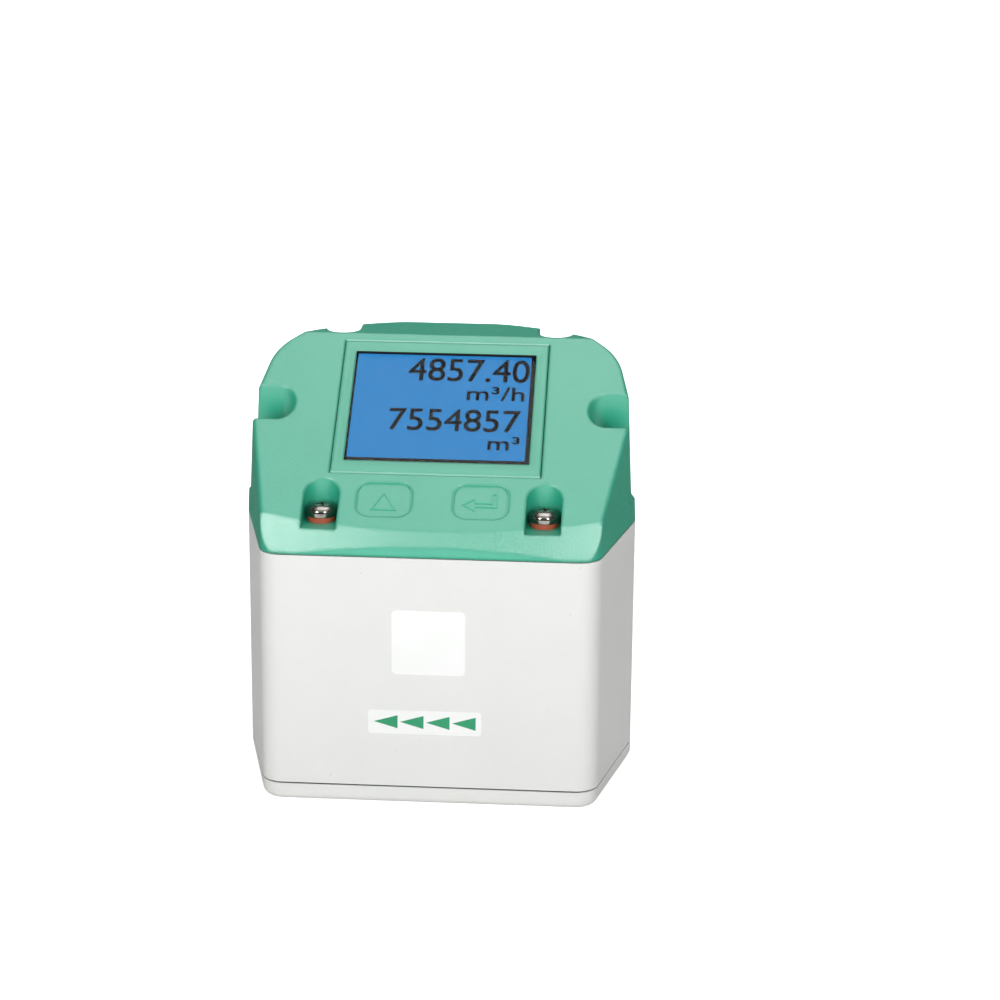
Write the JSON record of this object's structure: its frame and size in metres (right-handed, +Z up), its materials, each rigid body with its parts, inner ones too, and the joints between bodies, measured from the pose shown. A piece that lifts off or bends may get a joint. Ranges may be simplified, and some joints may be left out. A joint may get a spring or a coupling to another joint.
{
  "type": "thermal mass flow meter",
  "caption": "Flow meter head with a sloped display cover that swivels on a white housing, touch keys and rear round connectors.",
  "frame": {"origin": "mouth of the probe bore, in the plane of the base's underside", "axes": "+X to the right of the display as read, +Y to the rear where the connectors are, +Z up"},
  "size_m": [0.0758, 0.0669, 0.082],
  "materials": {
    "white_shell": "satin",
    "green_shell": "fine textured",
    "clear_window": "clear",
    "blue_screen": "gloss",
    "black_plastic": "matt",
    "black_rubber": "matt",
    "red_fibre": "matt",
    "bright_screw": "bright",
    "steel": "plain",
    "nickel": "satin",
    "brass": "plain",
    "copper_foil": "plain",
    "circuit_board": "satin",
    "white_label": "satin"
  },
  "bodies": {
    "housing": {"housing": "white_shell", "base_plate": "white_shell", "base_gasket": "black_rubber", "base_screws": "steel", "probe_bush": "steel", "main_board": "circuit_board", "main_board_screws": "steel", "terminal_block": "black_plastic", "cable_socket": "black_plastic", "glide_washer": "black_plastic", "swivel_seal": "black_rubber", "stop_pin": "steel", "front_label": "white_label", "flow_label": "white_label", "connector_shell_a": "nickel", "connector_seal_a": "black_rubber", "connector_insert_a": "black_plastic", "connector_pins_a": "brass", "connector_nut_a": "nickel", "connector_shell_b": "nickel", "connector_seal_b": "black_rubber", "connector_insert_b": "black_plastic", "connector_pins_b": "brass", "connector_nut_b": "nickel"},
    "display_head": {"display_cover": "green_shell", "display_bezel": "green_shell", "display_window": "clear_window", "screen_carrier": "black_plastic", "display_screen": "blue_screen", "display_board": "circuit_board", "display_board_screws": "steel", "touch_pads": "copper_foil", "cable_plug": "black_plastic", "display_cable": "black_rubber", "swivel_plate": "black_plastic", "retaining_ring": "steel", "thread_inserts": "brass", "seal_washers": "red_fibre", "cover_screws": "bright_screw"}
  },
  "joints": [
    {"name": "display_head_swivel", "type": "hinge", "parent": "housing", "child": "display_head", "pos_m": [0, 0, 0.0496], "axis": [0, 0, 1], "range_deg": [0, 180]}
  ]
}
